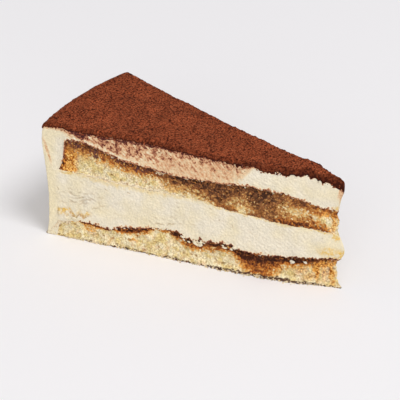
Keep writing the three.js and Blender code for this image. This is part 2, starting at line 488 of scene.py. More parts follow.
def makeCream():
    c = creamLook
    material, tree, shader, coords = newMaterial("mascarpone", 0.55)
    tone = useGroup(tree, toneGroup, Coords=coords, Fine=1500.0, Broad=120.0, Depth=0.4)
    base = blend(tree, remap(tree, noiseAt(tree, coords, 90.0), 0.42, 0.75), c["ivory"], c["butter"])
    base = blend(tree, painted(tree, "butter"), base, c["butter"])
    spots = remap(tree, noiseAt(tree, coords, 900.0, 3.0, 0.7), 0.35, 0.65, 0.1, 1.9)
    base = blend(tree, times(tree, painted(tree, "golden"), spots, clamp=True), base, c["golden"])
    smear = painted(tree, "smear")
    mottle = maths(tree, "SUBTRACT", noiseAt(tree, coords, 950.0, 3.0, 0.8), 0.5)
    stained = maths(tree, "MULTIPLY_ADD", mottle, remap(tree, smear, 0.1, 0.7, 0.15, 1.7), smear, clamp=True)
    base = blend(tree, remap(tree, stained, 0.03, 0.2), base, makeRamp(tree, stained, c["smear"]))
    # painted shade in air holes, crack grooves, the rim's holes and along the tear
    base = blend(tree, times(tree, painted(tree, "pit"), 0.65), base, c["crack"])
    finishLook(tree, shader, base, tone, [(0.8, 0.0003, tone["Height"])])
    connect(tree, remap(tree, stained, 0.4, 0.8, 0.3, 0.08), shader.inputs["Specular IOR Level"])
    return material


spongeLook = {
    "pale": colour(250, 238, 200),
    "yellow": colour(236, 214, 150),
    "poreShade": colour(176, 132, 76),
    "peach": colour(242, 206, 164),
    "olive": colour(204, 190, 124),
    "cover": colour(237, 220, 188),
    "purple": colour(104, 66, 62),
    # browned crust with painted contact shade along the foot
    "crust": colour(94, 68, 56),
    "warmSoak": [(0.0, colour(240, 222, 178)), (0.2, colour(234, 184, 104)), (0.4, colour(214, 132, 54)),
                 (0.6, colour(160, 94, 50)), (0.8, colour(112, 62, 38)), (1.0, colour(70, 38, 26))],
    "coolSoak": [(0.0, colour(238, 218, 166)), (0.2, colour(220, 180, 114)), (0.4, colour(180, 126, 74)),
                 (0.6, colour(140, 92, 58)), (0.8, colour(104, 70, 48)), (1.0, colour(66, 44, 34))],
    "skin": [(0.0, colour(250, 206, 124)), (0.4, colour(234, 164, 72)), (0.7, colour(186, 108, 48)),
             (1.0, colour(92, 50, 36))],
}


def makeSponge():
    c = spongeLook
    material, tree, shader, coords = newMaterial("soakedSponge", 0.85)
    crumb = useGroup(tree, crumbGroup, Coords=coords, Size=1300.0)
    tone = useGroup(tree, toneGroup, Coords=coords, Fine=1500.0, Broad=260.0, Depth=0.95)
    each = times(tree, crumb["Each"], 0.3)
    clumps = maths(tree, "MULTIPLY_ADD", noiseAt(tree, coords, 620.0, 2.0), 0.6, each)
    fine = maths(tree, "SUBTRACT", maths(tree, "MULTIPLY_ADD", tone["Height"], 0.8, clumps), 0.85)
    base = blend(tree, remap(tree, noiseAt(tree, coords, 300.0, 3.0), 0.42, 0.6), c["pale"], c["yellow"])
    base = blend(tree, remap(tree, noiseAt(tree, coords, 410.0, 3.0), 0.52, 0.72, 0.0, 0.7), base, c["peach"])
    base = blend(tree, remap(tree, noiseAt(tree, coords, 520.0, 3.0), 0.4, 0.26, 0.0, 0.7), base, c["olive"])

    soak = painted(tree, "soak")
    reach = times(tree, remap(tree, soak, 0.04, 0.3, 0.0, 1.4), remap(tree, soak, 0.6, 1.0, 1.0, 1.5))
    soaked = maths(tree, "MULTIPLY_ADD", fine, reach, soak, clamp=True)
    soakColour = blend(tree, painted(tree, "warm"), makeRamp(tree, soaked, c["coolSoak"]),
                       makeRamp(tree, soaked, c["warmSoak"]))
    base = blend(tree, remap(tree, soaked, 0.02, 0.16), base, soakColour)
    baked = maths(tree, "MULTIPLY_ADD", fine, -1.7, maths(tree, "MULTIPLY_ADD", soak, 0.75, 0.2))
    # the skin's colour is darker in the gaps between crumbs: painted shade
    skinColour = makeRamp(tree, maths(tree, "MULTIPLY_ADD", crumb["Gap"], 0.35, baked, clamp=True), c["skin"])
    base = blend(tree, painted(tree, "skin"), base, skinColour)
    for name, spread in (("purple", 1.5), ("crust", 1.4), ("cover", 1.2)):  # these lie on in specks
        mask = painted(tree, name)
        specks = remap(tree, maths(tree, "MULTIPLY_ADD", fine, spread, mask), 0.25, 0.75, smooth=True)
        base = blend(tree, times(tree, specks, remap(tree, mask, 0.02, 0.15)), base, c[name])
    # painted shade in the pores and low spots, and in the gaps between crumbs
    base = blend(tree, times(tree, painted(tree, "pit"), 0.6), base, c["poreShade"], "MULTIPLY")
    base = blend(tree, times(tree, crumb["Gap"], 0.45), base, c["poreShade"], "MULTIPLY")
    finishLook(tree, shader, base, tone, [(0.6, 0.0003, crumb["Height"]), (0.6, 0.00025, tone["Height"])])
    shader.inputs["Specular IOR Level"].default_value = 0.1
    return material


cocoaLook = {
    "powder": colour(158, 78, 46),
    "light": colour(182, 102, 66),
    "dark": colour(70, 26, 12),
    "moistAndShade": colour(58, 22, 12),
}


def makeCocoa():
    c = cocoaLook
    material, tree, shader, coords = newMaterial("cocoaPowder", 1.0)
    tone = useGroup(tree, toneGroup, Coords=coords, Fine=1650.0, Broad=130.0, Depth=1.6)
    grains = cellsAt(tree, coords, 1500.0)
    # painted shade in the gaps between the powder's grains
    holes = remap(tree, grains.outputs["Distance"], 0.4, 0.75, smooth=True)
    base = blend(tree, holes, c["powder"], c["dark"])
    glint = addNode(tree, "SeparateColor", {"Color": grains.outputs["Color"]}).outputs["Green"]
    base = blend(tree, remap(tree, glint, 0.6, 1.0, 0.0, 0.5), base, c["light"])
    # painted shade in the hollows between the lumps
    base = blend(tree, times(tree, painted(tree, "pit"), 0.5), base, c["dark"])
    # damp powder along the cut edge, with painted shade on that edge and on the powder's cut side
    moistAndShade = painted(tree, "moistAndShade")
    dampAndShade = maths(tree, "MULTIPLY_ADD", maths(tree, "SUBTRACT", tone["Height"], 0.5), 1.6, moistAndShade)
    base = blend(tree, times(tree, dampAndShade, remap(tree, moistAndShade, 0.02, 0.2), clamp=True), base, c["moistAndShade"])
    finishLook(tree, shader, base, tone, [(0.8, 0.0003, tone["Height"])])
    shader.inputs["Specular IOR Level"].default_value = 0.1
    return material


cream = makeCream()
sponge = makeSponge()
cocoa = makeCocoa()
print("materials ready")

# relief of the cut faces
crumbRelief = {"back": -0.35, "swell": 0.35, "swellSize": 4.3, "crumb": 0.34, "crumbSize": 1.6,
               "fine": 0.24, "fineSize": 0.8, "pore": 0.8, "poreSize": 2.6, "poreShare": 0.45}
creamRelief = {"out": 0.15, "swell": 0.2, "swellSize": 11.0, "drag": 0.12, "dragAngle": -35.0,
               "dragLong": 5.0, "dragWide": 0.9, "fine": 0.24, "fineSize": 0.75,
               "pit": 0.4, "pitSize": 3.4, "pitShare": 0.4}
rimRelief = {"sweep": 0.5, "sweepLong": 17.0, "sweepHigh": 3.4, "ridge": 0.34, "ridgeLong": 12.0,
             "ridgeHigh": 1.7, "line": 0.16, "lineLong": 5.0, "lineHigh": 0.7, "grain": 0.12,
             "grainSize": 1.0, "pit": 0.6, "pitSize": 3.4, "pitShare": 0.3}
rimHalf = 29.0  # half of the rim's length


def rimAt(side, height):
    # the palette knife went round the rim: how proud the cream stands, how thin it was wiped, its air holes
    r = rimRelief
    around = side * rimHalf
    bent = height + 1.6 * math.sin(around / 9) + 1.2 * ripple(around, 5, height, 11)
    sweep = noise.noise(Vector((around / r["sweepLong"], 5, bent / r["sweepHigh"])))
    ridge = 1 - min(1, 4 * abs(noise.noise(Vector((around / r["ridgeLong"], 15, bent / r["ridgeHigh"] / 2)))))
    line = noise.noise(Vector((around / r["lineLong"], 9, bent / r["lineHigh"])))
    out = r["sweep"] * sweep + r["ridge"] * ridge * ridge + r["line"] * line
    out += r["grain"] * ripple(around, 3, height, r["grainSize"]) - 0.1
    holes, centres = noise.voronoi(Vector((around * 0.7, 2, height * 1.3)) / r["pitSize"])
    pit = 0.0
    if noise.cell(centres[0] * 3.1) < r["pitShare"]:
        pit = 1 - ease(holes[0] + 0.1 * line, 0.03, 0.17)
    fades = ease(1 - abs(side), 0, 0.08)
    return (out - r["pit"] * pit) * fades, ease(-sweep - 0.3 * line, 0.05, 0.5), pit * fades


creamMarks = {
    # cracks and nicks in the middle cream, as (run, height, half length, slope in degrees, strength)
    "strokes": [
        (6, 22.6, 0.9, -30, 0.9), (8, 16.4, 2.4, -4, 0.6), (12.6, 17.3, 2.2, 6, 1.0),
        (17.4, 17.4, 3.0, 14, 0.9), (19.5, 19.6, 4.2, 10, 0.8), (22.6, 16.2, 1.8, 22, 0.9),
        (25.6, 17.7, 1.8, 24, 0.8), (14.4, 20.4, 1.6, 12, 0.5), (18.6, 22, 1.5, 28, 0.7),
        (21.6, 22.7, 1.6, 20, 0.6), (11.6, 23.2, 1.4, 4, 0.4), (25, 21.4, 1.6, 12, 0.5),
        (27.6, 25.7, 0.9, 0, 0.8), (37.6, 26, 0.9, 10, 0.9), (43.4, 23.2, 0.6, 40, 0.5),
        (51, 14.4, 2.6, 4, 1.0), (56, 15.2, 2.4, 18, 0.9), (49.6, 16.9, 0.9, 30, 0.6),
        (56.6, 18.7, 1.0, 30, 0.5), (60.5, 16.2, 1.4, 18, 0.4), (66, 16.8, 1.6, 8, 0.4),
        (73.2, 25.6, 0.7, 10, 1.0), (77, 21.2, 0.7, -60, 0.8), (82.6, 19.6, 1.0, -30, 0.6),
        (102.6, 15.4, 0.9, 20, 0.4), (90.5, 18, 1.2, -30, 0.4)],
    "width": 0.3,
    "depth": 0.17,
    "lip": 0.16,
    # where cream tore off beside the rim and showed yellow crumb
    "torn": contour([
        (4, 12), (8, 11.6), (9.6, 12.4), (11, 12.5), (12.1, 10.9), (13.3, 9.6), (14.4, 10.5), (15.5, 12.3),
        (16.2, 11.4), (17.5, 10.4), (18.7, 11.7), (20.2, 12), (22, 12.6)]),
    "tornRuns": (3.8, 22),
}


def strokeAt(run, height):
    m = creamMarks
    groove = lip = 0.0
    for along, up, halfLength, slope, strength in m["strokes"]:
        if abs(run - along) > halfLength + 0.5 or abs(height - up) > halfLength + 1.2:
            continue
        turn = math.radians(slope)
        u = ((run - along) * math.cos(turn) + (height - up) * math.sin(turn)) / halfLength
        v = (height - up) * math.cos(turn) - (run - along) * math.sin(turn)
        v += 0.22 * math.sin(2.6 * u * halfLength) + 0.25 * u * u * halfLength / 2
        if abs(u) >= 1:
            continue
        fade = strength * (1 - u * u)
        groove = max(groove, fade * math.exp(-((v / m["width"]) ** 2)))
        lip = max(lip, fade * math.exp(-(((v - 0.55) / 0.4) ** 2)))
    return groove, lip


def tornAt(run, height):
    # how far above the torn line a point is, and how much the tear matters there
    first, last = creamMarks["tornRuns"]
    zone = ease(run, first, first + 2) * (1 - ease(run, last - 4, last))
    rough = 0.5 * ripple(run, 3, height, 1.1) + 0.3 * ripple(run, 8, height, 0.6)
    return height - creamMarks["torn"](run) + rough, zone


def tipRough(run, height):
    # the point of the slice is torn rather than cut
    return ease(run, 122, 128) * (0.7 * ripple(3, 7, height, 1.3) + 0.5 * ripple(3, 7, height, 3.1) - 0.2)


def crumbAt(run, side, height):
    # how proud the cut crumb stands, and how deep in a pore or low spot the point is, which the sponge
    # darkens as painted shade
    r = crumbRelief
    across = side * apart["relief"]
    out = r["back"] + r["swell"] * ripple(run, across, height, r["swellSize"])
    out += r["crumb"] * ripple(run, across, height, r["crumbSize"])
    grain = ripple(run, across, height, r["fineSize"])
    out += r["fine"] * grain
    holes, centres = noise.voronoi(Vector((run + 7, across, height - 3)) / r["poreSize"])
    pit = 0.5 * (1 - ease(grain, -0.75, -0.25))
    if noise.cell(centres[0] * 3.7) < r["poreShare"]:
        hole = 1 - ease(holes[0] + 0.1 * grain, 0.06, 0.3)
        pit = max(pit, hole)
        out -= r["pore"] * hole
    return out, pit


def creamAt(run, side, height, cracked):
    r = creamRelief
    across = side * apart["relief"]
    out = r["out"] + r["swell"] * ripple(run, across, height, r["swellSize"])
    turn = math.radians(r["dragAngle"])
    along = run * math.cos(turn) + height * math.sin(turn)
    athwart = height * math.cos(turn) - run * math.sin(turn)
    strokes = r["drag"] * (0.4 + 0.6 * ease(run, 75, 100))
    out += strokes * noise.noise(Vector((along / r["dragLong"], across, athwart / r["dragWide"])))
    out += r["fine"] * ripple(run, across, height, r["fineSize"])
    holes, centres = noise.voronoi(Vector((run, across, height * 1.7)) / r["pitSize"])
    pit = 0.0
    if noise.cell(centres[0] * 2.3) < r["pitShare"]:
        pit = 1 - ease(holes[0], 0.02, 0.12)
    if cracked > 0.02:
        bent = height - 0.12 * run + 0.5 * math.sin(run / 1.7)
        line = noise.noise(Vector((run / 2.6, across, bent / 0.8)))
        pit = max(pit, cracked * 0.7 * (1 - ease(line, -0.5, -0.15)))
        out += cracked * 0.22 * line
    return out - r["pit"] * pit, pit


# the courses
spongePieces = {
    "spongeBase": {
        "node": "sponge_base",
        "grid": (440, 60, 48),
        "end": (5.0, 6.5),
        # what has soaked in, as (run, depth below its top): the dark line, and the tinge under it
        "dark": contour([
            (5, 0), (13, 0), (15.5, 0.9), (19, 1.5), (25, 1.2), (28.5, 0.9), (30.5, 0.3), (32.5, 1.7),
            (35, 2.5), (43, 2.3), (47, 1.1), (50, 0.6), (55, 0.9), (57, 2.3), (60.5, 2.4), (63, 1.2),
            (70, 1.4), (80, 1.9), (83, 2.6), (86, 4), (89, 5), (92, 5.4), (95, 4.4), (99, 3.4), (106, 3.2),
            (112, 3), (117, 2.4), (120, 1.8), (128, 1.2)]),
        "tinge": contour([
            (5, 0), (14, 1), (20, 3), (24, 2), (30, 0.6), (34, 3.4), (44, 3.4), (49, 1.6), (55, 2.4),
            (62, 4.6), (74, 4.2), (80.5, 3.6), (83.5, 5.2), (86, 7.4), (89, 9.2), (93, 9.6), (98, 9.6),
            (102, 8), (106, 5.8), (112, 5), (118, 4.2), (123, 4), (128, 4.6)]),
        "strength": contour([
            (5, 0.7), (18, 0.84), (28, 0.82), (33, 0.82), (46, 0.84), (50, 0.66), (55, 0.72), (57.5, 1.08),
            (84, 1.1), (90, 1.12), (106, 1.06), (117, 0.94), (121, 0.76), (128, 0.62)]),
        "tingeStrength": contour([
            (5, 0.4), (28, 0.5), (34, 0.66), (44, 0.66), (50, 0.4), (56, 0.5), (62, 0.66), (80, 0.64),
            (86, 0.82), (92, 0.92), (97, 0.88), (102, 0.7), (110, 0.56), (120, 0.46), (128, 0.42)]),
        "rising": contour([(5, 0), (128, 0)]),
        "spots": [
            (94, 8, 5, 2, 0, 0.3), (39, 5.6, 1.6, 1.2, 0, 0.22), (20, 3.2, 2.6, 1.4, 0, 0.2),
            (118.6, 6, 1.6, 3.6, 0, 0.3)],
        # golden patches, laid out in the same way
        "golden": [
            (118.6, 6, 1.7, 5, 0, 1.0), (126.2, 6.5, 2, 7, 0, 1.0), (112, 5.5, 4, 2, 0, 0.65),
            (121, 3, 8, 1.5, 0, 0.9), (115, 8.4, 3, 1.8, 0, 0.5), (122.6, 7.4, 1.8, 4, 12, 0.55),
            (40, 5.8, 1.5, 1, 0, 0.55), (58, 3.6, 2.4, 1.2, 0, 0.45), (21, 4.4, 2.6, 1.2, 0, 0.25)],
        "purple": [],
        "flush": contour([(5, 0.8), (14, 0.5), (50, 0.4), (56, 0), (84, 0), (90, 0.2), (128, 0.3)]),
        "fadesIn": 4.6,
        "coverAbove": contour([(5, 1.8), (11, 1.1), (14, 0.1), (128, 0.1)]),
        "coverBelow": contour([(5, 0), (128, 0)]),
        "warm": contour([(5, 1), (128, 1)]),
        "skinned": 0.0,
        # how high the dark underside shows along the foot: browned crust with painted contact shade
        "crust": contour([
            (5, 0.2), (26, 0.3), (30, 0.5), (60, 0.45), (72, 0.6), (80, 0.85), (104, 0.9), (122, 0.8),
            (128, 0.3)]),
    },
    "spongeUpper": {
        "node": "sponge_upper",
        "grid": (440, 60, 50),
        "end": (7.0, 10.4),
        "dark": contour([
            (8, 3.8), (12, 4.4), (18, 4.0), (22, 4.2), (27, 2.8), (33, 2.4), (37, 3), (40, 3.9), (46, 3.7),
            (49, 2), (53, 1.8), (56, 3), (62, 3.4), (70, 3.8), (78, 4.4), (84, 3.6), (90, 4.4), (95, 6),
            (99, 4.6), (102, 2.5), (108, 1.9), (116, 2), (128, 1.6)]),
        "tinge": contour([
            (8, 7), (13, 7.4), (17, 7), (20, 6.6), (24, 6.6), (32, 6), (44, 5.6), (50, 4.4), (54, 7),
            (62, 7.6), (68, 9.2), (73, 12), (78, 14), (84, 12), (90, 14), (98, 13), (102, 10), (108, 7.5),
            (118, 5.5), (128, 5)]),
        "strength": contour([
            (8, 0.7), (16, 0.7), (23, 0.78), (30, 0.68), (38, 0.78), (47, 0.8), (52, 0.52), (57, 0.8),
            (66, 0.82), (76, 0.74), (84, 0.66), (92, 0.82), (97, 0.8), (101, 0.58), (106, 0.48),
            (116, 0.56), (128, 0.52)]),
        "tingeStrength": contour([
            (8, 0.56), (20, 0.56), (30, 0.52), (36, 0.6), (46, 0.6), (52, 0.64), (60, 0.66), (72, 0.72),
            (78, 0.74), (84, 0.6), (91, 0.72), (97, 0.7), (103, 0.54), (116, 0.55), (128, 0.5)]),
        "rising": contour([
            (8, 0), (70, 0), (74, 2.6), (82, 2.4), (85.5, 0.2), (88.5, 0.4), (91, 2.2), (97, 3.2),
            (105, 3.2), (111, 3.2), (114, 3.4), (117, 2.4), (119, 2.4), (122, 2), (125, 0.5), (128, 0)]),
        "spots": [
            (76, 6, 4.5, 3, 0, 0.3), (95, 8, 6, 3.6, 0, 0.3), (86, 10.8, 2.4, 1.8, 0, -0.5),
            (84.5, 6.6, 3.4, 1.8, 0, -0.25), (107, 6, 5, 1.6, 0, -0.2), (103, 9, 4, 2, 0, 0.25),
            (115.6, 7.2, 1, 2.4, -25, 0.6), (121.5, 4.6, 2, 2.4, 0, -0.35)],
        "golden": [
            (18.4, 6.6, 3, 1.8, 0, 0.5), (126.6, 5.5, 1.4, 6, 0, 0.9), (119, 9.6, 3.4, 1.3, -8, 0.9),
            (124.4, 9, 3, 1.4, -20, 0.5), (122.5, 2.6, 3, 1.3, 0, 0.6), (80, 10.4, 5, 1.2, 0, 0.5),
            (56, 6.5, 5, 1.6, 0, 0.45), (93, 10.8, 4, 1.4, 0, 0.3)],
        "purple": [
            (14, 2, 5, 2.4, 0, 0.6), (23.4, 3, 3, 2.4, -20, 0.8), (34, 1.4, 5, 1.6, 0, 0.55),
            (43, 2.4, 6, 2.2, 0, 0.5)],
        "flush": contour([(8, 0.5), (16, 1), (50, 1), (66, 0.8), (90, 0.5), (128, 0.4)]),
        "fadesIn": 0.0,
        "coverAbove": contour([
            (8, 0.2), (20, 0.3), (30, 0.7), (36, 0.3), (46, 0.3), (51, 1.2), (55, 0.5), (60, 0.3),
            (92, 0.2), (128, 0.2)]),
        "coverBelow": contour([
            (8, 0.2), (15, 0.5), (22, 1.3), (48, 1.4), (58, 0.7), (68, 0.3), (128, 0.2)]),
        "warm": contour([
            (8, 0.8), (20, 0.6), (28, 0.8), (46, 0.9), (54, 0.3), (72, 0.2), (98, 0.1), (108, 0.35),
            (116, 0.7), (128, 1)]),
        "skinned": 1.0,
        "crust": None,
    },
}


def makeSpongePiece(name, floor, roof):
    plan = spongePieces[name]
    foot, head = plan["end"]
    stained = [spot for spot in plan["spots"] if spot[-1] > 0]
    faded = [spot[:-1] + (-spot[-1],) for spot in plan["spots"] if spot[-1] < 0]
    levelCut = creamRelief["out"]
    bm = makeBlock(*plan["grid"])
    paint = paintLayers(bm, "soak", "warm", "skin", "purple", "cover", "crust", "pit")
    for v in bm.verts:
        along, across, up = v.co
        side = sideAt(across)
        first = foot + (head - foot) * up - spongeUnder
        run = first + (cake["cut"] - first) * along
        low, high = floor(run, side), roof(run, side)
        height = low + (high - low) * up
        cutSide = math.copysign(1, side)
        if abs(side) < deepInside and 0 < along < 1:
            v.co = place(run, side, height)
            continue
        proud, pit = crumbAt(run, cutSide, height)
        proud -= 0.25 * onEdge(run, side, 1) * (1 - ease(high - height, 0, 0.7))  # its top edge is worn
        flush = plan["flush"](run) * (1 - ease(height - low, 0.2, 2.2))  # cream and crumb are smeared level
        proud += (levelCut - proud) * 0.8 * flush
        fromEnd = run - first
        fadesIn = 0.0  # cream from the rim is dragged over the sponge's end
        if plan["fadesIn"]:
            fadesIn = 1 - ease(fromEnd + 1.2 * cutRipple(run, cutSide, height, 1.6), 0.3, plan["fadesIn"])
            proud += (levelCut - proud) * fadesIn
        v.co = place(run, side, height, proud)
        v.co.x += tipRough(run, height)
        if abs(side) < deepInside and along < 1:
            continue
        seen, _ = laidOut(run, cutSide, height, proud)
        depth, above = high - height, height - low
        # the fronts of what has soaked in are ragged
        wobble = 0.7 * cutRipple(run, across, height, 2.4) + 0.45 * cutRipple(run, across, height, 0.9)
        dark, tinge = plan["dark"](seen), plan["tinge"](seen)
        core = plan["strength"](seen) * within(depth + 0.35 * wobble * min(2.5, dark), dark, 0.4)
        soak = max(core, plan["tingeStrength"](seen) * within(depth + 1.3 * wobble, tinge, 0.8) ** 1.6)
        rising = plan["rising"](seen)
        lift = 0.62 + 0.17 * ease(seen, 98, 106) * (1 - ease(seen, 114, 117))
        raised = lift * within(above + 0.6 * wobble, rising, 0.6)
        soak = max(soak, raised, 0.4 * within(above + wobble, 2 * rising, 0.7))
        soak = soak + patchMask(stained, seen, depth) * (1 - soak)
        soak *= 1 - patchMask(faded, seen, depth)
        v[paint["purple"]] = patchMask(plan["purple"], seen, depth)
        v[paint["warm"]] = max(plan["warm"](seen), ease(seen, 98, 104) * within(above, 3.5))
        baked = 1 - ease(run + 1.2 * wobble - 0.12 * (height - 37), 13.8, 16.2)
        baked *= plan["skinned"] * (0.25 + 0.75 * ease(depth + 1.6 * wobble, 3.6, 6.6))
        v[paint["skin"]] = max(baked, patchMask(plan["golden"], seen, depth))
        speck = 1.3 * cutRipple(run, cutSide, height, 1.3) + 0.5 * cutRipple(run, cutSide, height, 0.7)
        cover = max(within(depth + wobble + speck, plan["coverAbove"](seen), 0.8),
                    within(above + wobble, plan["coverBelow"](seen), 0.9), fadesIn)
        if plan["skinned"]:
            soak = max(soak, 0.85 * (1 - ease(fromEnd + 1.1 * wobble + 0.7 * speck, 0.9, 3.4)))
        v[paint["soak"]] = soak
        v[paint["cover"]] = cover
        # browned underside and painted contact shade along the foot
        if plan["crust"]:
            # the new foot also sets how far out the next vertex's end starts
            foot = plan["crust"](run) * (1 + 0.5 * ripple(run, 3, 3, 1.8)) + 0.3 * speck
            darker = 0.45 + 0.4 * ease(run, 26, 34)
            v[paint["crust"]] = darker * (1 - ease(height, foot * 0.6, foot * 1.2 + 0.1))
        # pores and low spots, for painted shade there
        v[paint["pit"]] = pit
    finishPiece(bm, name, sponge, plan["node"])


creamPieces = {
    "creamMiddle": {
        "node": "cream_middle",
        "grid": (440, 90, 72),
        "cracked": [(15, 19.5, 11, 5.0, 6, 0.75), (55, 16.5, 7, 2.4, 6, 0.5), (76, 22, 5, 3, 0, 0.3)],
        "butter": [
            (122, 17, 8, 4, 10, 0.9), (60, 28, 40, 1.0, -2, 0.6), (1, 20, 6, 26, 0, 1.0),
            (124, 22, 5, 4, 0, 0.6)],
        "golden": [
            (7.6, 11.2, 2.4, 1.3, 0, 0.6), (10.5, 30.6, 5, 0.7, 0, 0.6), (123, 15.6, 5, 2.4, 10, 0.55),
            (127.6, 15.4, 1.2, 2.8, 0, 1.0), (125, 12.9, 5, 0.9, 10, 0.8), (127, 22.4, 1.6, 1.6, 0, 0.8),
            (120, 24.4, 6, 0.8, -6, 0.7)],
        "crumbed": contour([(0, 0), (10, 0.5), (20, 1.6), (46, 1.6), (60, 1.1), (72, 0.6), (128, 0.4)]),
        # dark crumb mixed into the cream's lower edge
        "fuzz": contour([
            (0, 0), (14, 0), (18, 0.5), (28, 0.4), (33, 0.8), (45, 0.9), (48.5, 0.2), (54, 0.2), (57, 0.6),
            (61, 0.3), (68, 0.6), (82, 0.6), (88, 0.6), (98, 0.7), (112, 0.4), (128, 0.3)]),
    },
    "creamTop": {
        "node": "cream_top",
        "grid": (440, 90, 56),
        "cracked": [(72, 44, 10, 3, -20, 0.4)],
        "butter": [(1, 38, 5, 16, 0, 1.0)],
        "golden": [(127, 35.4, 2, 1, 0, 0.7), (127.8, 43, 0.8, 3.4, 0, 0.6)],
        "blush": [(2.0, 39, 0.8, 7.5, 12, 0.9)],
        # below the powder the cream is tinted, closer to it rusty, and next to it the powder was dragged
        # down; next to the sponge a strip stays clean
        "tinted": contour([
            (0, 1.2), (8, 2), (13, 4.8), (20, 6.2), (28, 8), (36, 9.4), (44, 10.6), (52, 13), (62, 15),
            (74, 13), (82, 9), (88, 5), (92, 1), (100, 0.5), (124, 0.6), (125.4, 5), (128, 6.5)]),
        "tint": contour([
            (0, 0.28), (10, 0.36), (16, 0.46), (24, 0.56), (28, 0.67), (34, 0.7), (40, 0.63), (48, 0.56),
            (60, 0.49), (72, 0.5), (84, 0.52), (92, 0.3), (123.6, 0.25), (125.4, 0.42), (128, 0.55)]),
        "rusty": contour([
            (0, 0.8), (12, 2), (18, 3), (23, 2.8), (27, 4.6), (31, 6.8), (36, 7.2), (44, 6.8), (50, 6.6),
            (56, 4), (62, 3), (68, 3.4), (76, 2.2), (88, 1.8), (96, 0.6), (128, 0.5)]),
        "dragged": contour([
            (0, 0.2), (9, 0.4), (12, 1.2), (15, 3.0), (18, 3.4), (21, 0.9), (24.5, 1.1), (26.5, 2),
            (28.6, 1.7), (30.5, 1.2), (33, 2.1), (35.5, 2.4), (38, 1.7), (41, 1.9), (43.5, 2.2), (46, 1.3),
            (52, 1.4), (60, 1.2), (72, 0.9), (90, 0.4), (126, 0.4), (127.4, 1.5), (128, 4.4)]),
        "clean": contour([
            (0, 0), (9, 0.4), (14, 1.5), (22, 1.8), (32, 1.8), (42, 1.5), (50, 1.0), (60, 0.6), (76, 0.4),
            (90, 0.3), (128, 0.3)]),
        "fuzz": contour([
            (0, 0), (10, 0.2), (14, 0.8), (22, 1.0), (30, 1.0), (36, 0.8), (44, 1.0), (52, 0.7), (56, 0.8),
            (92, 0.7), (104, 0.5), (118, 0.3), (128, 0.2)]),
        "crumbed": contour([(0, 0), (10, 0.3), (50, 0.4), (60, 0.6), (90, 0.6), (104, 0.4), (128, 0.3)]),
    },
}


smearStrokes = {"angle": 48.0, "long": 3.4, "wide": 0.75}


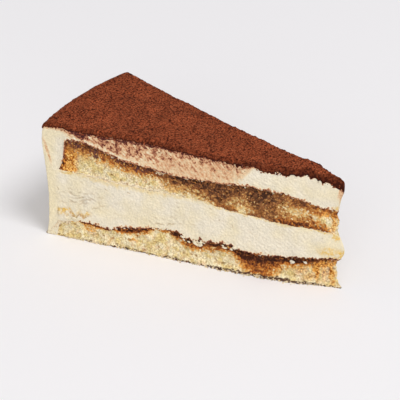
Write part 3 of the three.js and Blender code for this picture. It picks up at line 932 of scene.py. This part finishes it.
def makeCreamPiece(name, floor, roof):
    plan = creamPieces[name]
    bm = makeBlock(*plan["grid"])
    paint = paintLayers(bm, "smear", "butter", "golden", "pit")
    strokeTurn = math.radians(smearStrokes["angle"])
    for v in bm.verts:
        along, across, up = v.co
        side = sideAt(across)
        run = cake["cut"] * along
        low, high = floor(run, side), roof(run, side)
        height = low + (high - low) * up
        cutSide = math.copysign(1, side)
        if abs(side) < deepInside and 0 < along < 1:
            v.co = place(run, side, height)
            continue
        seen, seenHeight = laidOut(run, cutSide, height, 0)
        proud, pit = creamAt(run, cutSide, height, patchMask(plan["cracked"], seen, seenHeight))
        torn = tornZone = tornLine = 0.0
        if name == "creamMiddle":
            groove, lip = strokeAt(seen, seenHeight)
            proud += creamMarks["lip"] * lip - creamMarks["depth"] * groove
            # the grooves get painted shade
            pit = max(pit, 0.9 * groove)
            torn, tornZone = tornAt(seen, seenHeight)
            tornLine = tornZone * (1 - ease(abs(torn), 0.15, 0.6))
            stepped = tornZone * (0.3 if torn < 0 else -0.3)
            proud += stepped * (1 - ease(abs(torn), 0.9, 2.4)) * ease(abs(torn), 0, 0.3)
        depth, above = high - height, height - low
        toSponge = depth if name == "creamMiddle" else above
        join = 1 - ease(run, 6, 9)  # outside the sponge the two courses of cream run into each other
        tuck = 0.1 * join * (1 - ease(toSponge, 0, creamOverlap))
        v.co = place(run, side, height, proud - tuck)
        rim = wiped = rusted = holed = 0.0  # how much of the rim's own finish the point has
        if run == 0:
            rim = 1 - ease(abs(side), 0.88, 1)
            out, wiped, holed = rimAt(side, height)
            v.co.x += tuck - out
            if name == "creamTop":
                around = side * rimHalf
                drawn = 1.2 * ripple(around, 11, height, 1.1) + 1.8 * ripple(around, 17, 3, 4.5)
                rusted = 0.5 * within(depth + drawn, 1.5, 0.9)
        elif abs(side) < deepInside and along < 1:
            continue
        spot = cutRipple(run, cutSide, height, 0.9)
        patch = cutRipple(run, cutSide, height, 2.3)
        # painted shade in the rim's air holes
        v[paint["pit"]] = pit + (0.6 * holed - pit) * rim
        beside = plan["crumbed"](seen)  # sponge crumb dragged into the cream's edge
        crumbed = within(toSponge + patch + 0.8 * spot, beside, 0.9) * ease(run, 8, 12)
        butter = max(crumbed, patchMask(plan["butter"], seen, seenHeight))
        yellow = tornZone * ease(torn, -0.1, 0.5) * (1 - ease(torn + 1.5 * patch, 0.6, 2.4))
        golden = (0.4 if side > 0 else 1) * patchMask(plan["golden"], seen, seenHeight)
        golden = max(0.25 * crumbed, 0.75 * yellow, golden)
        v[paint["butter"]] = butter + (0.9 * wiped - butter) * rim
        v[paint["golden"]] = golden * (1 - rim)
        if name == "creamMiddle":
            # painted shade along the torn line
            tornLine *= ease(seen, 9.5, 11.5) * (0.7 + ripple(run, 7, height, 0.8))
            v[paint["pit"]] = min(1, pit + 1.2 * tornLine)
            dark = 0.95 * within(above + 1.1 * spot + 0.5 * patch, plan["fuzz"](seen), 0.7)
            v[paint["smear"]] = max(0.5 * tornLine, dark)
            continue
        onStroke = run * math.cos(strokeTurn) + depth * math.sin(strokeTurn)
        offStroke = run * math.sin(strokeTurn) - depth * math.cos(strokeTurn)
        onStroke /= smearStrokes["long"]
        offStroke /= smearStrokes["wide"]
        streak = noise.noise(Vector((onStroke, cutSide * apart["ripple"], offStroke)))
        wobble = 0.9 * patch + 0.4 * streak + 0.3 * spot
        smear = plan["tint"](seen) * within(depth + wobble, plan["tinted"](seen), 0.5)
        uneven = 1.7 - 1.1 * ease(seen, 46, 62)
        smear *= 1 + 0.6 * streak + uneven * (0.35 * spot + 0.5 * patch)
        rust = within(depth + 1.5 * wobble, plan["rusty"](seen), 0.7)
        smear = min(smear + 0.58 * rust * ease(spot + patch + 0.5 * streak, -0.15, 0.5), 0.77)
        smear *= 1 - 0.85 * within(above + 0.9 * patch + 0.6 * spot, plan["clean"](seen), 0.6)
        dragged = plan["dragged"](seen) * (1 + 0.5 * streak)
        faint = 1 - 0.06 * ease(seen, 21, 27) * (1 - ease(seen, 60, 70))
        smear = max(smear, faint * within(depth + 0.9 * patch + 0.5 * spot, dragged, 0.5))
        smear = max(smear, 0.8 * within(above + 1.1 * spot + 0.5 * patch, plan["fuzz"](seen), 0.7))
        smear = max(smear, 0.52 * patchMask(plan["blush"], seen, seenHeight, 0.4))
        smear += (rusted - smear) * rim
        v[paint["smear"]] = min(max(smear, 0.0), 1.0)
    finishPiece(bm, name, cream, plan["node"])


def baseFloor(run, side):
    return 0.0


def baseRoof(run, side):
    return courseEdge("base", run, side) + lap


def stepDown(run, side, name, beside, above):
    # the cream's floor lies lower beside the end of a sponge than above the sponge
    foot, head = (end - 0.2 for end in spongePieces[name]["end"])
    over = (run - foot + 1.1 * cutRipple(run, side, 52, 1.0)) / (head - foot)
    return beside + (above - beside) * min(max(over, 0), 1)


def middleFloor(run, side):
    above = courseEdge("base", run, side) - lap + tornAway(run, side)
    return stepDown(run, side, "spongeBase", 0.0, above)


def middleRoof(run, side):
    return courseEdge("middle", run, side)


def upperFloor(run, side):
    return courseEdge("middle", run, side) - lap


def upperRoof(run, side):
    return courseEdge("upper", run, side) + lap


def topFloor(run, side):
    foot = spongePieces["spongeUpper"]["end"][0]
    overlap = creamOverlap * (1 - ease(run, foot - 1.5, foot - 0.3))
    beside = courseEdge("middle", run, side) - overlap - 0.05
    return stepDown(run, side, "spongeUpper", beside, courseEdge("upper", run, side) - lap)


makeSpongePiece("spongeBase", baseFloor, baseRoof)
makeCreamPiece("creamMiddle", middleFloor, middleRoof)
makeSpongePiece("spongeUpper", upperFloor, upperRoof)
makeCreamPiece("creamTop", topFloor, topEdge)

cocoaPiece = {
    "grid": (420, 190, 3),
    "thick": 1.2,
    "heaped": 1.2,
    "heapedRuns": (90.0, 118.0),
    "gathered": 1.4,
    "swell": 0.25,
    "lumps": 0.12,
    "lumpSize": 0.7,
    "grain": 0.1,
    "grainSize": 0.6,
    "edgeWidth": 1.6,
    "edgeDrop": 0.75,
}


def powderTop(run, side):
    p = cocoaPiece
    thick = p["thick"] + p["heaped"] * ease(run, *p["heapedRuns"])
    toTip = cake["cut"] - run
    thick += roundOver(toTip, cake["droopWidth"], p["gathered"] - cake["droopDrop"])
    thick += roundOver(toTip, cake["underWidth"], cake["droopDrop"])
    at = place(run, side, 50)
    thick += p["swell"] * ripple(at.x, at.y, 0, 7) + p["lumps"] * ripple(at.x, at.y, 4, p["lumpSize"])
    thick += p["grain"] * ripple(at.x, at.y, 8, p["grainSize"])
    edge = roundOver(fromCut(run, side), p["edgeWidth"], p["edgeDrop"])
    return thick - edge * min(1, halfWidthAt(run) / 3)


def makeCocoaPiece():
    bm = makeBlock(*cocoaPiece["grid"], hidden=(-1,))
    paint = paintLayers(bm, "moistAndShade", "pit")
    for v in bm.verts:
        along, across, up = v.co
        side = sideAt(across)
        run = cake["cut"] * along
        floor = topEdge(run, side)
        thick = powderTop(run, side)
        height = floor - lap + (thick + lap) * up
        proud = 0.35 + 0.45 * cutRipple(run, side, height, 1.0) + 0.35 * cutRipple(run, side, height, 2.6)
        proud -= 0.45 * up * up  # the powder leans back towards the top
        v.co = place(run, side, height, proud)
        around = side * rimHalf
        if run == 0:
            v.co.x -= 0.2 + 0.3 * ripple(around, 7, height, 1.1) + 0.3 * ripple(around, 7, height, 2.8)
        edge = 1 - ease(fromCut(run, side) + 1.6 * ripple(run, around, 5, 2.2) - 0.2, 0.0, 1.7)
        # damp powder and painted shade along the cut edge; the lower part of the powder layer is all painted
        # shade
        v[paint["moistAndShade"]] = min(1, 0.54 * edge * (0.8 + 0.2 * ease(run, 40, 80)) + (1 - up) ** 1.8)
        # the hollows between the powder's lumps, for painted shade there
        v[paint["pit"]] = 1 - ease(ripple(v.co.x, v.co.y, 4, cocoaPiece["lumpSize"]), -0.45, 0.0)
    finishPiece(bm, "cocoaTop", cocoa, "cocoa_dusting")


makeCocoaPiece()

# crumbs and flecks
random.seed(26)

looseKinds = {
    # rows: what they sit on, first and last run, how far out, how far above it, sizes and how many
    "creamFlecks": {
        "material": cream, "slot": "cream", "stretch": 1.9,
        "rows": [("base", (61.5, 71), (0.1, 0.4), (-1.0, 0.6), (0.9, 2.0), 12),
                 ("base", (78.5, 84), (0.1, 0.4), (-0.9, 0.4), (0.9, 1.8), 6),
                 ("base", (108.2, 109), (0.1, 0.4), (-2.2, -1.8), (1.1, 1.5), 2),
                 ("base", (113.2, 113.9), (0.1, 0.4), (-1.9, -1.5), (1.0, 1.4), 2),
                 ("base", (28, 56), (0.0, 0.2), (-0.3, 0.3), (0.5, 1.0), 10),
                 ("base", (8.5, 14.5), (0.1, 0.4), (0.2, 1.8), (1.0, 2.2), 7)],
    },
    "paleCrumbs": {
        "material": sponge, "slot": "sponge", "stretch": 1.0,
        "rows": [("floor", (8, 127), (-0.3, 0.6), (0.0, 0.6), (0.5, 1.1), 260),
                 ("floor", (60, 122), (0.2, 1.6), (0.0, 0.1), (0.3, 0.8), 40),
                 ("upper", (78, 114), (-0.3, 0.1), (-9, -3), (0.4, 0.7), 50)],
    },
    "darkCrumbs": {
        "material": sponge, "slot": "sponge", "stretch": 1.2,
        "rows": [("floor", (20, 127), (-0.3, 0.4), (0.0, 0.25), (0.4, 0.9), 90),
                 ("floor", (76, 124), (-0.1, 0.6), (0.0, 0.5), (0.4, 0.8), 50),
                 ("base", (56, 127), (0.0, 0.3), (-1.4, 0.4), (0.5, 1.1), 90),
                 ("base", (56.5, 61), (0.0, 0.4), (-1.6, 0.2), (0.8, 1.4), 7),
                 ("base", (66, 82), (0.1, 0.4), (-0.9, 0.7), (0.8, 1.5), 34),
                 ("upper", (12, 50), (-0.1, 0.2), (-1.8, 0.6), (0.4, 0.9), 40),
                 ("upper", (54, 112), (-0.2, 0.2), (-2.5, 0.5), (0.5, 0.9), 80)],
    },
    "goldenCrumbs": {
        "material": sponge, "slot": "sponge", "stretch": 1.0,
        "rows": [("torn", (5, 10), (0.0, 0.2), (-1.6, 1.0), (0.4, 0.8), 12),
                 ("torn", (10, 21), (0.0, 0.2), (0.4, 1.2), (0.4, 0.7), 10),
                 ("upper", (10, 54), (-0.2, 0.2), (-7, -0.5), (0.5, 0.9), 60)],
    },
    "cocoaGrains": {
        "material": cocoa, "slot": "cocoa", "stretch": 1.0,
        "rows": [("powder", (2, 127), (0.0, 0.3), (-0.9, 0.2), (0.4, 0.8), 160),
                 ("powder", (12, 90), (0.0, 0.2), (-3.0, -0.4), (0.3, 0.6), 110),
                 ("rim", (-0.97, 0.97), (0.0, 0.2), (-1.8, 0.3), (0.3, 0.6), 70)],
    },
}


def looseLevel(kind, run, side):
    if kind == "floor":
        return 0.0
    if kind in ("powder", "rim"):
        return topEdge(run, side)
    if kind == "torn":
        return 11.6 - 0.05 * run
    return courseEdge(kind, run, side)


def makeCrumb(bm, at, size, stretch, paint, tones):
    turned = Matrix.Rotation(random.uniform(-0.6, 0.6), 4, "Y") @ Matrix.Diagonal((stretch, 0.7, 0.75, 1))
    matrix = Matrix.Translation(at) @ turned
    made = bmesh.ops.create_icosphere(bm, subdivisions=2, radius=size / 2, matrix=matrix)
    for v in made["verts"]:
        v.co = at + (v.co - at) * (1 + 0.8 * noise.noise(v.co / (0.45 * size)))
        v.co.z = max(v.co.z, 0.0)
        for key, tone in tones.items():
            v[paint[key]] = tone


def makeLoose(name):
    plan = looseKinds[name]
    whole = bmesh.new()
    row = bpy.data.meshes.new("row")
    for kind, runs, outs, ups, sizes, count in plan["rows"]:
        for side in (-1, 1):
            bm = bmesh.new()
            paint = paintLayers(bm, "soak", "skin", "warm", "crust", "cover")
            for _ in range(count):
                run, across = random.uniform(*runs), side
                if kind == "rim":
                    run, across = 0.0, run  # its two numbers say how far round the rim
                size = random.uniform(*sizes) * random.uniform(0.6, 1.0)
                height = max(looseLevel(kind, run, across) + random.uniform(*ups), 0.25 * size)
                out = random.uniform(*outs)
                at = place(run, across, height, out)
                if kind == "rim":
                    at.x -= out
                tone = random.random()
                dark = name == "darkCrumbs"
                makeCrumb(bm, at, size, plan["stretch"], paint, {
                    "soak": 0.55 + 0.4 * tone if dark else 0.1 * tone + 0.15 * (kind == "upper"),
                    "skin": 0.5 * (name == "goldenCrumbs"),
                    "warm": 0.6,
                    "crust": 0.7 * (dark and kind == "floor"),
                    "cover": 0.2 + 0.7 * tone if name == "paleCrumbs" and kind == "floor" else 0.0})
            bm.to_mesh(row)
            bm.free()
            whole.from_mesh(row)
    bpy.data.meshes.remove(row)
    finishPiece(whole, name, plan["material"])


for looseName in looseKinds:
    makeLoose(looseName)

# stage, lights and camera
stageLook = {
    "floor": colour(250, 248, 249),
    "floorHalf": 3.0,
    "world": (0.94, 0.94, 0.96, 1.0),
    "worldStrength": 0.5,
}


def makeFloor():
    bm = bmesh.new()
    bmesh.ops.create_grid(bm, x_segments=1, y_segments=1, size=stageLook["floorHalf"])
    mesh = bpy.data.meshes.new("floor")
    bm.to_mesh(mesh)
    bm.free()
    material, _, shader, _ = newMaterial("paper", 0.8)
    shader.inputs["Base Color"].default_value = stageLook["floor"]
    shader.inputs["Specular IOR Level"].default_value = 0.1
    mesh.materials.append(material)
    floor = bpy.data.objects.new("floor", mesh)
    bpy.context.scene.collection.objects.link(floor)


def makeLight(name, size, watts, at, aim, tint=(1.0, 1.0, 1.0)):
    lamp = bpy.data.lights.new(name, "AREA")
    lamp.shape = "DISK"
    lamp.size = size
    lamp.energy = watts
    lamp.color = tint
    light = bpy.data.objects.new(name, lamp)
    bpy.context.scene.collection.objects.link(light)
    light.location = at
    light.rotation_euler = (Vector(aim) - Vector(at)).to_track_quat("-Z", "Y").to_euler()


cameraPlace = {"sensor": 36, "lens": 186.04, "at": (0.411875, -0.622164, 0.422166), "down": 28.28,
               "turned": 33.718, "nearest": 0.05, "farthest": 20}


def makeCamera():
    p = cameraPlace
    lens = bpy.data.cameras.new("camera")
    lens.sensor_width = p["sensor"]
    lens.lens = p["lens"]
    lens.clip_start = p["nearest"]
    lens.clip_end = p["farthest"]
    camera = bpy.data.objects.new("camera", lens)
    camera.location = p["at"]
    camera.rotation_euler = (math.radians(90 - p["down"]), 0, math.radians(p["turned"]))
    bpy.context.scene.collection.objects.link(camera)
    bpy.context.scene.camera = camera


makeFloor()
toRight = Vector((0.832, 0.555, 0))  # as the camera sees it
toCamera = Vector((0.555, -0.832, 0))
up = Vector((0, 0, 1))
middle = (0.0, 0.0, 0.02)
makeLight("key", 1.6, 58, 1.22 * toRight + 1.47 * toCamera + 3.06 * up, middle)
makeLight("fill", 2.7, 36, 3.6 * toCamera - 0.45 * toRight + 1.68 * up, middle)
world = bpy.data.worlds.new("studio")
world.use_nodes = True
background = next(n for n in world.node_tree.nodes if n.type == "BACKGROUND")
background.inputs["Color"].default_value = stageLook["world"]
background.inputs["Strength"].default_value = stageLook["worldStrength"]
bpy.context.scene.world = world
bpy.context.scene.view_settings.view_transform = "Standard"
makeCamera()
print("stage ready")
